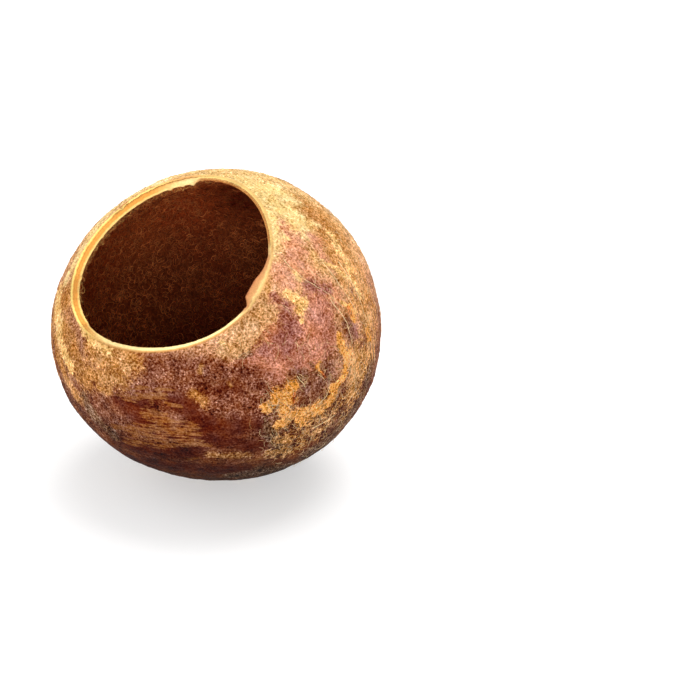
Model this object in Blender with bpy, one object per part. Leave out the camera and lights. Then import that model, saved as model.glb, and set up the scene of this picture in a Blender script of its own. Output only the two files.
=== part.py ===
"""Dried bell cup pod: the hollow woody shell of one fruit, cut open by a slanting mouth and resting on its base.

The shell is a turned hollow ball, with its open end up, whose points are then moulded into the real form.
A point of the ball is given by its share of the way from the mouth's edge (0) to the far pole (1),
by its turn round the mouth's axis, from the pod's right (+X) towards its back, and by its depth in the wall,
from the skin (0) to the inside (1). The mouth opens upwards and to the front (-Y).
"""

import math

import bmesh
import bpy
from mathutils import Vector

MM = 0.001

# The pod's outer form, an oval with a few broad swellings
HALF_WIDTH = 39.0 * MM
HALF_DEPTH = 35.8 * MM
HALF_HEIGHT = 35.9 * MM
LEAN_TO_RIGHT = 0.035
LEAN_TO_BACK = 0.022
BACK_CROWN = 0.017
SADDLE = -0.019
THREE_SIDES = 0.011

# The cut mouth
MOUTH_TILT = math.radians(35.7)
MOUTH_HEIGHT = 27.5 * MM
SAW_WOBBLE = 0.42 * MM
SAW_WOBBLE_TURN = math.radians(40)
CUT_LEAN = 0.45
EDGE_ROUNDING = 0.35 * MM

# Where the saw came out on the right: the cut runs level and then ends at a step, as a short ledge
LEDGE_STEP = math.radians(-11)
LEDGE_FULL = math.radians(-2)
LEDGE_END = math.radians(16)
LEDGE_LEAN = -0.05
LEDGE_WALL = 0.15 * MM

# The wall, thinner where the inner layer has flaked off the edge, between the ledge and the splinter
BODY_WALL = 2.0 * MM
BASE_WALL = 2.6 * MM
RIM_WALL = 1.85 * MM
FLAKED_WALL = 1.25 * MM
NEAR_WALL = 1.6 * MM
SPLINTER_TURN = math.radians(104)
THICK_END = math.radians(240)
STEP_SOFTNESS = math.radians(5)
RIM_WALL_SHARE = 0.16

# The flower scar opposite the mouth, a dimple in a low ring
SCAR_RADIUS = 3.4 * MM
SCAR_DEPTH = 0.75 * MM
SCAR_RING = 0.25 * MM
SCAR_SHARE = 0.07

# The worn flat that the pod rests on
FLAT_DEPTH = 0.9 * MM

# The mesh
TURNS = 80
OUTER_ROWS = 20
INNER_ROWS = 15
SCAR_ROWS = 4
RIM_DEPTHS = (0.0, 0.08, 0.24, 0.5, 0.76, 0.92, 1.0)
BALL_WALL = 0.2
BALL_MOUTH = math.radians(45)
WELD_SHARE = 1e-5
WELD = 0.0001 * MM
SHARP_ANGLE = math.radians(35)

SHELL_COLOUR = (0.36, 0.17, 0.07, 1.0)
SHELL_ROUGHNESS = 0.72

MOUTH_AXIS = Vector((0, -math.sin(MOUTH_TILT), math.cos(MOUTH_TILT)))
MOUTH_RIGHT = Vector((1, 0, 0))
MOUTH_BACK = MOUTH_AXIS.cross(MOUTH_RIGHT)


def smooth(x, start, end):
    """0 before start, 1 after end, and an S-curve between them."""
    share = min(max((x - start) / (end - start), 0.0), 1.0)
    return share * share * (3 - 2 * share)


def window(turn, start, end, soft=STEP_SOFTNESS):
    """1 for a turn between start and end, fading to 0 over the soft angle at each side."""
    half = (end - start) / 2
    away = abs((turn - (start + end) / 2 + math.pi) % math.tau - math.pi)
    return 1 - smooth(away, half - soft / 2, half + soft / 2)


def ledge(turn):
    """1 just past the ledge's step, falling to 0 at its far end."""
    turn = (turn + math.pi) % math.tau - math.pi
    step = smooth(turn, LEDGE_STEP - STEP_SOFTNESS / 2, LEDGE_STEP + STEP_SOFTNESS / 2)
    return step * (1 - smooth(turn, LEDGE_FULL, LEDGE_END))


def direction(polar, turn):
    """The unit direction at an angle from the mouth's axis and a turn round it."""
    side = math.cos(turn) * MOUTH_RIGHT + math.sin(turn) * MOUTH_BACK
    return math.cos(polar) * MOUTH_AXIS + math.sin(polar) * side


def skin_radius(way):
    """Distance from the pod's middle to its skin in a unit direction."""
    x, y, z = way
    oval = 1 / math.sqrt((x / HALF_WIDTH) ** 2 + (y / HALF_DEPTH) ** 2 + (z / HALF_HEIGHT) ** 2)
    swelling = (
        LEAN_TO_RIGHT * z * x
        + LEAN_TO_BACK * y * z
        + BACK_CROWN * y * (5 * z * z - 1)
        + SADDLE * z * (x * x - y * y)
        + THREE_SIDES * y * (3 * x * x - y * y)
    )
    return oval * (1 + swelling) + scar_relief(way)


def scar_relief(way):
    """The flower scar's height over the skin: a dimple, with a low ring round it."""
    away = HALF_HEIGHT * way.angle(-MOUTH_AXIS) / SCAR_RADIUS
    dimple = -SCAR_DEPTH * math.exp(-((away / 0.6) ** 2))
    ring = SCAR_RING * math.exp(-(((away - 1.05) / 0.3) ** 2))
    return dimple + ring


def rim_wall(turn):
    """The wall's thickness at the mouth's edge."""
    thick = (RIM_WALL - NEAR_WALL) * window(turn, SPLINTER_TURN, THICK_END)
    flaked = (FLAKED_WALL - NEAR_WALL) * window(turn, LEDGE_END, SPLINTER_TURN)
    return NEAR_WALL + thick + flaked + LEDGE_WALL * ledge(turn)


def wall_at(share, turn):
    """The wall's thickness at a share of the way from the mouth's edge to the far pole."""
    body = BODY_WALL + (BASE_WALL - BODY_WALL) * smooth(share, 0.3, 0.9)
    return rim_wall(turn) + (body - rim_wall(turn)) * smooth(share, 0, RIM_WALL_SHARE)


def cut_height(turn, depth):
    """Height of the cut along the mouth's axis: a wobbling plane that leans inwards, with rounded edges."""
    wobble = SAW_WOBBLE * math.cos(3 * (turn - SAW_WOBBLE_TURN))
    lean = CUT_LEAN + (LEDGE_LEAN - CUT_LEAN) * ledge(turn)
    from_edge = min(depth, 1 - depth) * rim_wall(turn)
    corner = max(0.0, 1 - from_edge / EDGE_ROUNDING)
    rounding = EDGE_ROUNDING * (1 - math.sqrt(1 - corner**2))
    return MOUTH_HEIGHT + wobble - lean * rim_wall(turn) * depth - rounding


def rim_polar(turn, depth):
    """Angle from the mouth's axis at which this depth of the wall meets the cut."""
    wanted = cut_height(turn, depth)
    low, high = math.radians(10), math.radians(80)
    for _ in range(30):
        middle = (low + high) / 2
        radius = skin_radius(direction(middle, turn)) - depth * rim_wall(turn)
        if radius * math.cos(middle) > wanted:
            low = middle
        else:
            high = middle
    return middle


def ball_profile():
    """(share, depth) down the ball's outside, and from its far pole up the inside and over the rim."""
    outside = [(1 - SCAR_SHARE) * row / OUTER_ROWS for row in range(OUTER_ROWS)]
    scar = [1 - SCAR_SHARE * (1 - row / SCAR_ROWS) for row in range(SCAR_ROWS + 1)]
    inside = [1 - row / INNER_ROWS for row in range(INNER_ROWS)]
    skin = [(share, 0.0) for share in outside + scar]
    lining = [(share, 1.0) for share in inside]
    rim = [(0.0, depth) for depth in reversed(RIM_DEPTHS[1:])]
    return skin, lining + rim


def ball_point(share, depth):
    """A profile point of the turned ball, in the half plane of +X."""
    polar = BALL_MOUTH + share * (math.pi - BALL_MOUTH)
    radius = 1 - BALL_WALL * depth
    return Vector((radius * math.sin(polar), 0, radius * math.cos(polar)))


def turned_ball():
    """The hollow ball: its skin and its lining profile, joined at the rim and spun round the axis."""
    mesh = bmesh.new()
    skin, lining = ball_profile()
    skin_line = [mesh.verts.new(ball_point(*point)) for point in skin]
    lining_line = [mesh.verts.new(ball_point(*point)) for point in lining]
    for line in (skin_line, lining_line):
        for first, second in zip(line, line[1:]):
            mesh.edges.new((first, second))
    mesh.edges.new((lining_line[-1], skin_line[0]))
    bmesh.ops.spin(
        mesh,
        geom=mesh.verts[:] + mesh.edges[:],
        cent=(0, 0, 0),
        axis=(0, 0, 1),
        angle=math.tau,
        steps=TURNS,
        use_merge=True,
    )
    bmesh.ops.remove_doubles(mesh, verts=mesh.verts[:], dist=WELD_SHARE)
    return mesh


def mould(mesh):
    """Moves each point of the ball to its place in the pod's wall."""
    rims = {}
    for vert in mesh.verts:
        radius = vert.co.length
        depth = round((1 - radius) / BALL_WALL, 4)
        share = (math.acos(max(-1.0, min(1.0, vert.co.z / radius))) - BALL_MOUTH) / (math.pi - BALL_MOUTH)
        turn = math.atan2(vert.co.y, vert.co.x)
        key = (round(turn, 5), depth)
        if key not in rims:
            rims[key] = rim_polar(turn, depth)
        polar = rims[key] + share * (math.pi - rims[key])
        way = direction(polar, turn)
        vert.co = way * (skin_radius(way) - depth * wall_at(share, turn))


def rest_on_table(mesh):
    """Centres the pod over the origin, sinks it FLAT_DEPTH under z = 0 and cuts it level there."""
    points = [vert.co for vert in mesh.verts]
    low = Vector(min(point[axis] for point in points) for axis in range(3))
    high = Vector(max(point[axis] for point in points) for axis in range(3))
    middle = (low + high) / 2
    shift = Vector((-middle.x, -middle.y, -low.z - FLAT_DEPTH))
    bmesh.ops.translate(mesh, verts=mesh.verts[:], vec=shift)
    whole = mesh.verts[:] + mesh.edges[:] + mesh.faces[:]
    bmesh.ops.bisect_plane(
        mesh,
        geom=whole,
        dist=WELD,
        plane_co=(0, 0, 0),
        plane_no=(0, 0, -1),
        clear_outer=True,
    )
    rim = [edge for edge in mesh.edges if edge.is_boundary]
    bmesh.ops.edgeloop_fill(mesh, edges=rim)


def pod_material():
    """Plain woody brown."""
    material = bpy.data.materials.new("dried_rind")
    material.use_nodes = True
    shader = material.node_tree.nodes["Principled BSDF"]
    shader.inputs["Base Color"].default_value = SHELL_COLOUR
    shader.inputs["Roughness"].default_value = SHELL_ROUGHNESS
    shader.inputs["Metallic"].default_value = 0.0
    return material


def pod_shell():
    """The pod's shell, one solid."""
    mesh = turned_ball()
    mould(mesh)
    rest_on_table(mesh)
    bmesh.ops.recalc_face_normals(mesh, faces=mesh.faces[:])
    data = bpy.data.meshes.new("pod_shell")
    mesh.to_mesh(data)
    mesh.free()
    data.shade_smooth()
    data.set_sharp_from_angle(angle=SHARP_ANGLE)
    for edge in data.edges:
        if all(data.vertices[index].co.z < WELD for index in edge.vertices):
            edge.use_edge_sharp = True
    data.materials.append(pod_material())
    return bpy.data.objects.new("pod_shell", data)


def main():
    for obj in list(bpy.data.objects):
        bpy.data.objects.remove(obj)
    pod = bpy.data.collections.new("bell_cup_pod")
    bpy.context.scene.collection.children.link(pod)
    pod.objects.link(pod_shell())


main()
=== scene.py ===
"""The looks of a dried bell cup pod: pitted skin, layered cut edge and a lining of fine curly fibres.

The pod's form is worked out by the same formulas as its solid, in metres and in the pod's own frame round its
middle, and then set down where the solid stands. A place on the pod is given by its turn round the mouth's
axis, its share of the way from the mouth's edge (0) to the far pole (1) and its depth in the wall.
"""

import math

import bpy
import numpy as np
from mathutils import Matrix, Vector, noise


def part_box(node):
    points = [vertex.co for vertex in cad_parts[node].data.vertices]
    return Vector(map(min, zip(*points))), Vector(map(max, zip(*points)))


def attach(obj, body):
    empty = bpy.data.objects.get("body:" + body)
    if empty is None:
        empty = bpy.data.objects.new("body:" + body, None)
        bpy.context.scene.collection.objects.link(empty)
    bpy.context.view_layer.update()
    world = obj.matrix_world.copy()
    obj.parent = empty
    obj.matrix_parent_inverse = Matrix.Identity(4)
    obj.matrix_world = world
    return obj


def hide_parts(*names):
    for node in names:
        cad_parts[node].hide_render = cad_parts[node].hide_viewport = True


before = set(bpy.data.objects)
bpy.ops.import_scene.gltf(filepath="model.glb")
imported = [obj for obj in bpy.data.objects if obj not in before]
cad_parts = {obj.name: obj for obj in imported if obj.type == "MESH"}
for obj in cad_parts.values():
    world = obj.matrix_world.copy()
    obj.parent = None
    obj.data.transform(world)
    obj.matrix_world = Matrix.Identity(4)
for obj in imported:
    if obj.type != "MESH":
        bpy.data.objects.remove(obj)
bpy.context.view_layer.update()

MM = 0.001

# The pod's form, as in its solid
HALF_WIDTH = 39.0 * MM
HALF_DEPTH = 35.8 * MM
HALF_HEIGHT = 35.9 * MM
LEAN_TO_RIGHT = 0.035
LEAN_TO_BACK = 0.022
BACK_CROWN = 0.017
SADDLE = -0.019
THREE_SIDES = 0.011
MOUTH_TILT = math.radians(35.7)
MOUTH_HEIGHT = 27.5 * MM
SAW_WOBBLE = 0.42 * MM
SAW_WOBBLE_TURN = 40
CUT_LEAN = 0.45
EDGE_ROUNDING = 0.22 * MM
LEDGE_STEP = -11
LEDGE_FULL = -2
LEDGE_END = 16
LEDGE_LEAN = -0.05
LEDGE_WALL = 0.15 * MM
BODY_WALL = 2.0 * MM
BASE_WALL = 2.6 * MM
RIM_WALL = 1.85 * MM
FLAKED_WALL = 1.25 * MM
NEAR_WALL = 1.6 * MM
SPLINTER_TURN = 104
THICK_END = 240
STEP_SOFTNESS = 5
RIM_WALL_SHARE = 0.16
SCAR_RADIUS = 3.4 * MM
SCAR_DEPTH = 0.75 * MM
SCAR_RING = 0.25 * MM
FLAT_DEPTH = 0.9 * MM

MOUTH_AXIS = np.array([0, -math.sin(MOUTH_TILT), math.cos(MOUTH_TILT)])
MOUTH_RIGHT = np.array([1.0, 0, 0])
MOUTH_BACK = np.cross(MOUTH_AXIS, MOUTH_RIGHT)

# The photograph's view of the pod
PHOTO_SIZE = (700, 676)
MM_PER_PIXEL = 0.2315 * MM
POD_PIXEL = (215.4, 323.7)
VIEW_AZIMUTH = math.radians(32)
VIEW_ELEVATION = math.radians(25)
VIEW_DISTANCE = 450 * MM
VIEW_RISE = 0.9 * MM
SENSOR = 36.0

# Small nicks in the cut edge: turn, depth in the wall, half width in degrees and how deep in millimetres
NICKS = (
    (153, 0.1, 1.0, 0.5), (107, 0.9, 1.2, 0.6), (101, 0.95, 0.8, 0.5), (113, 0.95, 0.9, 0.4),
    (121, 0.95, 1.0, 0.45), (227, 0.95, 1.4, 0.45), (232, 0.9, 0.8, 0.35), (262, 0.95, 1.2, 0.4),
    (174, 0.95, 0.8, 0.3), (204, 0.9, 1.0, 0.3), (64, 0.9, 0.9, 0.3), (92, 0.95, 0.7, 0.4),
)

# Fineness of the meshes
SKIN_TURNS = 512
SKIN_ROWS = 208
CUT_ROWS = 14
LINING_TURNS = 256
LINING_ROWS = 112
# Plain rings inside the wall that close the rind and the lining, each a share and a number of points
HIDDEN_DEPTH = 0.6
HIDDEN_RINGS = ((0.07, 256), (0.14, 128), (0.25, 64), (0.38, 64), (0.52, 64), (0.68, 32), (0.84, 16))
MOUTH_POLAR = math.radians(40)

# Noises in the form, each a size, a seed and a number of octaves, and the heights that go with them
BROAD = (16 * MM, 1, 3)
PATCHY = (7 * MM, 2, 3)
BLOTCHY = (9 * MM, 3, 3)
SPOTTY = (8 * MM, 4, 3)
DENTS = (11 * MM, 5, 2)
DENT_HEIGHT = 0.5 * MM
LUMPS = (2.6 * MM, 6, 3)
LUMP_HEIGHT = 0.22 * MM
PEBBLES = (1.05 * MM, 7)
PEBBLE_HEIGHT = 0.16 * MM
RAGGED_CUT = (0.9 * MM, 9, 2)
RAGGED_HEIGHT = 0.22 * MM
GROOVE_DEPTH = 0.1 * MM
TORN_HEIGHT = 0.1 * MM
FELT_EDGE = (0.035, 21, 4)
TUFTS = (1.6 * MM, 22, 3)
TUFT_HEIGHT = 0.3 * MM
FELT_HEIGHT = 0.04 * MM
FELT_BROAD = (14 * MM, 23, 2)
CLUMPS = (2.4 * MM, 31, 2)
FIBRE_WAVER = (2.2 * MM, 41, 2)
WAVER_WIDTH = 0.5 * MM

# Kinds of hair, with their lengths, curls, heights and radii in millimetres: each is the least, what chance
# adds at most, and a power that makes the large ones rare
HAIR_RINGS = 5
HAIR_PIECES = 3
HAIRS_A_PIECE = 7000
FELT_SIZES = ((2.0, 2.4, 1), (0.55, 1.1, 1.5), (0.15, 0.75, 2), (0.06, 0.045, 1))
BRISTLES = 700
BRISTLES_TURN = 186
BRISTLES_SPREAD = 24
FRAYED_BITS = 150
FRAYED_TURN = 117
FRAYED_SPREAD = 8
BRISTLE_SIZES = ((1.0, 2.0, 1), (1.4, 3, 1), (0.3, 0.8, 1), (0.035, 0.025, 1))
FIBRES = 950
OTHER_FIBRES = 250
LOWEST_FIBRE = -26 * MM
FIBRE_NEAREST = math.radians(49)
FIBRE_SIZES = ((1.6, 3.4, 1.5), (1.0, 5, 1), (0.1, 0.35, 2), (0.026, 0.022, 1))
LONG_RINGS = 24
LONG_RADIUS = 0.1 * MM
LONG_LIFT = 0.12 * MM
LONG_TONE = 0.95

# Noises in the materials, each a size in millimetres, detail, roughness and a stretch
SPECK = (0.42, 3, 0.75)
FINE = (0.85, 3, 0.7)
MIDDLING = (2.6, 4, 0.6)
COARSE = (7, 3, 0.6)
WARM = (3.4, 3, 0.6, (1, 1, 0.9))
LEVEL = (0.5, 3, 0.7, (0.13, 0.13, 1))
UPRIGHT = (0.6, 3, 0.65, (1, 1, 0.16))
MATTED = (0.6, 4, 0.65)
STRANDS = (1.5, 4, 0.6)
HAIR_FLECK = (1.2, 2, 0.5)
NET = (0.85, 0.7)

# Shares of the grain: net, then speck, fine, middling and coarse noise. The level brings the sum near 0.
NET_SHARE = 0.4
GRAIN_SHARES = (3.8, 2.0, 1.2, 1.0)
GRAIN_LEVEL = -4.23
# The grain's contrast in the colour, paler crests and darker pits: partly the skin's own pitting and partly
# painted highlights and painted shade on its pebbles
GRAIN_CONTRAST = 0.4
LINE_CONTRAST = 0.45
# Painted highlights on the grain's highest crests
GLINT = 0.1
RIND_BUMP = 0.25
RIND_SHINE = 0.03
FELT_BUMP = 0.4
FELT_SHINE = 0.15

# The studio; each light has a name, a place, a size and a power
WORLD_LIGHT = 0.72
FLOOR_REACH = 3.0
FLOOR_DROP = 0.05 * MM
FLOOR_TONE = 153
WHITE = (255, 255, 255)
FLOOR_ROUGHNESS = 0.9
FLOOR_GLOW = 0.45
LIGHTS = (
    ("key_light", (0.0, 0.45, 1.1), 1.0, 14),
    ("left_light", (-1.0, -0.25, 0.55), 0.8, 3),
    ("front_light", (0.55, -1.0, 0.28), 0.5, 5),
)

# Colours as they show on a screen, 0 to 255. A ramp's stops are a place, red, green and blue, ends first.
# The skin's colour by height: darker towards the bottom, partly its own colour and partly painted shade
SKIN_BY_HEIGHT_WITH_PAINTED_SHADE = (
    (0.0, 86, 48, 20), (1.0, 246, 200, 130), (0.12, 106, 56, 28), (0.25, 122, 64, 36), (0.38, 130, 72, 46),
    (0.5, 150, 91, 64), (0.65, 208, 142, 100), (0.8, 232, 172, 114),
)
WARM_SHIFT = (0.16, 0.02, -0.16)
CUT_LAYERS = (
    (0.0, 236, 190, 112), (1.0, 244, 194, 118), (0.12, 255, 230, 136), (0.24, 246, 188, 98),
    (0.32, 206, 130, 60), (0.38, 232, 160, 78), (0.62, 226, 150, 72), (0.8, 250, 206, 122),
)
CUT_PLAIN = (
    (0.0, 200, 136, 80), (1.0, 222, 162, 94), (0.22, 232, 180, 110), (0.42, 255, 232, 164),
    (0.86, 254, 222, 152),
)
CUT_CRACK = (128, 70, 34)
CUT_LEDGE = (
    (0.0, 226, 180, 112), (1.0, 160, 92, 58), (0.26, 236, 196, 130), (0.42, 206, 152, 98),
    (0.78, 196, 134, 88),
)
CUT_LAMINATED = (
    (0.0, 236, 186, 118), (1.0, 150, 84, 44), (0.2, 250, 208, 130), (0.42, 255, 222, 140),
    (0.5, 146, 76, 38), (0.58, 248, 196, 120), (0.66, 140, 72, 36), (0.76, 236, 176, 102),
    (0.86, 160, 88, 48),
)
FELT_BROWN = (196, 96, 44)
FELT_RED = (194, 84, 36)
FELT_DARK = (104, 40, 17)
HAIR_DARK = (96, 26, 8)
HAIR_LIGHT = (245, 150, 84)
FIBRE_DARK = (214, 150, 88)
FIBRE_LIGHT = (250, 222, 168)
BRISTLE_DARK = (166, 84, 40)
BRISTLE_LIGHT = (232, 180, 106)

# Painted light and painted shade on the felt, in places: turn, share, reach and how much paler
FELT_PAINTED_LIGHT_AND_SHADE = ((105, 0.31, 8 * MM, -0.5), (180, 0.5, 13 * MM, 0.42), (116, 0.52, 8 * MM, 0.1))

# The skin's marks, as strokes. Each stroke is a half width in millimetres and the x, y of points on the
# photograph that it runs through.
# Gold: where the outer skin has flaked off
GOLD = (
    (1.7, 293, 383, 288, 392, 286, 400), (1.4, 282, 396, 272, 401, 267, 407), (1.5, 276, 392, 292, 398),
    (1.2, 283, 404, 284, 412), (1.5, 282, 424, 292, 415, 305, 411), (1.8, 303, 418, 318, 409, 330, 402),
    (1.4, 329, 400, 336, 388, 338, 384), (1.3, 336, 385, 345, 377), (1.2, 345, 372, 347, 358, 343, 350),
    (1.0, 342, 350, 340, 336), (0.5, 321, 360, 317, 368), (0.4, 318, 368, 322, 374),
    (0.9, 367, 330, 369, 341), (0.7, 349, 306, 354, 320),
)
# Duller ochre spots, low on the front
OCHRE = (
    (1.3, 195, 395, 203, 403), (1.1, 212, 455, 236, 456, 247, 455), (0.5, 201, 365, 200, 371),
    (0.4, 228, 385, 230, 388),
)
# Paler gold, higher up, and painted light down the left edge
STRAW_AND_PAINTED_EDGE_LIGHT = (
    (0.9, 288, 294, 299, 303), (1.0, 306, 301, 300, 311), (0.5, 300, 310, 302, 322),
    (0.5, 341, 304, 356, 313), (0.6, 323, 262, 338, 270, 353, 281), (0.6, 354, 282, 360, 296),
    # The two wide strokes down the left edge, at x 58 to 70, are painted light
    (0.8, 222, 341, 229, 347), (0.6, 241, 333, 246, 337), (2.6, 58, 296, 60, 330), (1.8, 62, 345, 70, 366),
    (1.6, 84, 325, 95, 342, 108, 348), (1.4, 330, 236, 350, 268),
)
# Orange red, next to some of the gold
EMBER = (
    (0.6, 348, 309, 351, 314), (0.4, 322, 372, 324, 378), (0.4, 296, 392, 294, 404),
    (0.8, 114, 214, 127, 202),
)
# Golden tan cheek on the left, and the speckled tan parts
TAN = (
    (3.5, 66, 335, 72, 360, 84, 375), (3.4, 95, 352, 112, 365, 128, 362),
    (2.2, 88, 372, 108, 378, 120, 382), (1.2, 99, 388, 110, 390), (2.4, 56, 306, 57, 345, 64, 374, 75, 394),
    (1.6, 51, 295, 52, 340, 58, 375), (3.5, 60, 300, 62, 330), (3.0, 80, 275, 62, 310),
    (2.4, 112, 350, 128, 356), (2.6, 352, 392, 358, 372, 356, 350), (2.2, 330, 250, 352, 285, 366, 320),
    (4.0, 300, 205, 335, 240),
)
# Speckled beige, beside the mouth
BEIGE = (
    (2.6, 240, 340, 252, 330, 268, 312), (1.8, 226, 352, 243, 345), (1.8, 262, 302, 250, 318, 236, 330),
)
# Tan and gold flecks on the darker skin low on the right
FLECK = (
    (2.4, 300, 424, 320, 416, 340, 404), (2.6, 318, 430, 338, 418, 352, 400),
    (2.6, 285, 440, 305, 438, 325, 430), (2.0, 276, 452, 298, 450), (2.4, 354, 396, 362, 372, 362, 350),
    (1.6, 230, 350, 248, 342),
)
# Horizontal scuffs low on the left
SCUFF = (
    (0.9, 118, 398, 140, 396, 164, 397), (1.6, 148, 413, 160, 418, 166, 426),
    (2.0, 134, 429, 160, 431, 192, 430), (1.3, 126, 440, 160, 444, 196, 443), (0.7, 150, 404, 152, 412),
    (0.7, 184, 445, 212, 446), (0.7, 114, 427, 128, 428), (0.6, 186, 459, 200, 458),
    (0.6, 166, 404, 180, 408), (0.6, 240, 462, 262, 458), (0.6, 120, 386, 150, 388, 176, 386),
    (0.9, 96, 436, 112, 448),
)
# Red and mauve skin
MAUVE = (
    (3.0, 281, 330, 270, 342, 262, 352), (3.4, 300, 335, 290, 352, 272, 366),
    (3.6, 320, 318, 322, 340, 305, 360), (2.4, 312, 300, 326, 310), (1.6, 275, 302, 284, 316),
    (2.6, 246, 366, 262, 372, 276, 372), (1.2, 352, 292, 358, 304), (1.2, 352, 330, 360, 345),
)
# Rough red brown, under the mouth
RUSSET = (
    (2.8, 138, 366, 176, 370, 222, 370), (1.8, 118, 390, 150, 386, 200, 386),
    (2.4, 236, 372, 262, 384, 272, 392), (1.6, 76, 388, 92, 402), (2.6, 208, 402, 240, 404, 266, 410),
)
# Greyish mauve
LILAC = (
    (2.4, 286, 316, 290, 334, 280, 350), (1.4, 310, 284, 328, 291), (1.4, 258, 340, 266, 352),
    (1.2, 352, 326, 358, 346), (1.0, 276, 298, 286, 304),
)
# Salmon pink, lighter
BLUSH = (
    (3.0, 286, 228, 296, 250, 284, 278), (2.6, 318, 243, 334, 262), (3.0, 296, 262, 314, 284, 334, 300),
    (2.0, 306, 322, 330, 340),
)
# Fine upright pale streaks along the right edge
STREAKS = (
    (3.2, 322, 214, 346, 248, 362, 284, 372, 322), (2.4, 372, 322, 372, 350),
    (2.4, 334, 250, 350, 280, 360, 310), (1.8, 352, 350, 354, 376),
)
# Dark purple brown
PLUM = (
    (1.6, 303, 376, 308, 388, 304, 400), (1.7, 316, 376, 322, 388, 312, 398), (1.2, 326, 371, 330, 380),
    (0.9, 354, 290, 357, 303), (1.4, 348, 322, 352, 345), (0.8, 242, 351, 246, 355),
    (1.4, 272, 414, 278, 420), (1.6, 336, 422, 328, 432), (0.7, 311, 364, 313, 367),
)
# Deep maroon, smooth skin
MAROON = (
    (2.6, 176, 404, 196, 410, 206, 418), (2.6, 196, 424, 216, 428, 240, 428), (2.2, 204, 438, 236, 442),
    (2.2, 240, 416, 260, 424), (2.2, 160, 392, 196, 396, 232, 394), (1.8, 118, 402, 150, 404),
    (3.0, 96, 436, 118, 452, 150, 464), (2.4, 246, 446, 266, 444), (3.4, 128, 404, 160, 428, 192, 440),
    (3.0, 128, 444, 160, 452, 196, 452), (2.8, 150, 462, 190, 468, 240, 470),
)
# Pale, bleached skin beside the mouth and over the crown, and painted light along the top left edge
PALE_AND_PAINTED_EDGE_LIGHT = (
    (3.0, 262, 196, 276, 204, 298, 222), (2.4, 240, 180, 268, 190, 290, 200), (1.6, 270, 214, 276, 236),
    (1.0, 272, 240, 273, 256), (1.8, 275, 208, 300, 217), (0.9, 291, 216, 305, 220),
    (0.8, 311, 222, 318, 226), (0.6, 294, 273, 300, 278), (0.7, 281, 234, 287, 238),
    (0.6, 303, 236, 308, 240), (0.8, 262, 306, 272, 312),
    # Painted light along the top left edge
    (1.5, 66, 282, 84, 246, 108, 212, 136, 188, 166, 173, 196, 166),
)
# Olive and grey brown, as if dirty, towards the base
DUST = (
    (3.0, 344, 420, 330, 436, 310, 452), (3.4, 330, 440, 300, 462, 270, 470),
    (2.4, 348, 418, 362, 394, 371, 364), (1.8, 270, 425, 276, 440, 282, 452), (1.2, 240, 352, 248, 350),
    (2.6, 258, 470, 236, 476), (2.2, 84, 398, 94, 416, 112, 434),
)

# How a stroke's outline wanders, and how strong marks are on the unseen side
WANDER = 0.9 * MM
WANDER_STRETCH = 4.5 * MM
WANDER_SEED = 5
UNSEEN_STRENGTH = 0.66

# Each kind of patch, from the lowest up: its name, its strokes and their strength, the speckle that breaks it
# up and how much, how soft its edge is, its colour, and how strong its grain is
PATCHES = (
    ("blush", BLUSH, 1.0, "middling", 1.6, 0.4, (222, 150, 112), 0.75),
    ("mauve", MAUVE, 1.0, "middling", 1.6, 0.35, (198, 124, 96), 0.8),
    ("lilac", LILAC, 1.0, "middling", 2.0, 0.45, (168, 102, 86), 0.8),
    ("maroon", MAROON, 1.0, "fine", 1.7, 0.5, (88, 34, 18), 0.3),
    ("russet", RUSSET, 1.0, "fine", 2.0, 0.5, (138, 74, 48), 1.15),
    ("dust", DUST, 1.0, "middling", 2.4, 0.4, (128, 86, 58), 1.1),
    ("tan", TAN, 1.0, "fine", 2.2, 0.45, (200, 134, 70), 1.0),
    ("fleck", FLECK, 0.68, "ragged", 5.0, 0.25, (194, 130, 64), 1.2),
    ("plum", PLUM, 1.0, "fine", 1.8, 0.4, (128, 76, 54), 0.9),
    ("scuff", SCUFF, 0.85, "level", 5.5, 0.18, (140, 84, 44), 0.4),
    ("streaks", STREAKS, 0.75, "upright", 5.0, 0.4, (228, 162, 96), 0.9),
    ("straw", STRAW_AND_PAINTED_EDGE_LIGHT, 1.0, "ragged", 1.8, 0.3, (252, 198, 122), 1.0),
    ("pale", PALE_AND_PAINTED_EDGE_LIGHT, 1.0, "fine", 2.4, 0.5, (240, 202, 134), 0.6),
    ("beige", BEIGE, 1.0, "fine", 2.2, 0.45, (218, 160, 106), 0.95),
    ("ochre", OCHRE, 1.0, "fine", 2.4, 0.6, (178, 112, 52), 1.0),
    ("gold", GOLD, 1.0, "ragged", 1.8, 0.25, (244, 164, 74), 1.1),
    ("ember", EMBER, 1.0, "fine", 1.5, 0.4, (206, 110, 56), 1.0),
)

# Where loose fibres lie on the skin, as strokes, and the pixels that each long one runs through
FIBRE_PLACES = (
    *GOLD, *STREAKS, *FLECK, (1.6, 283, 259, 308, 282, 337, 302), (0.8, 298, 374, 302, 386),
    (5.0, 250, 310, 290, 330, 330, 350), (3.0, 270, 215, 320, 240), (2.0, 300, 440, 330, 430),
    (2.0, 270, 400, 276, 440),
)
LONG_FIBRES = (
    ((283, 259), (289, 267), (297, 273), (308, 282), (322, 290), (337, 302), (345, 311)),
    ((297, 376), (299, 380), (303, 383), (305, 387)),
    ((322, 262), (340, 286), (356, 312)),
    ((338, 262), (356, 292), (366, 322)),
    ((330, 300), (346, 322), (352, 344)),
    ((312, 428), (330, 418), (346, 404), (356, 388)),
    ((318, 404), (326, 396), (330, 386)),
)


def smooth(x, start, end):
    """0 before start, 1 after end, and an S-curve between them."""
    share = np.clip((x - start) / (end - start), 0, 1)
    return share * share * (3 - 2 * share)


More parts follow.
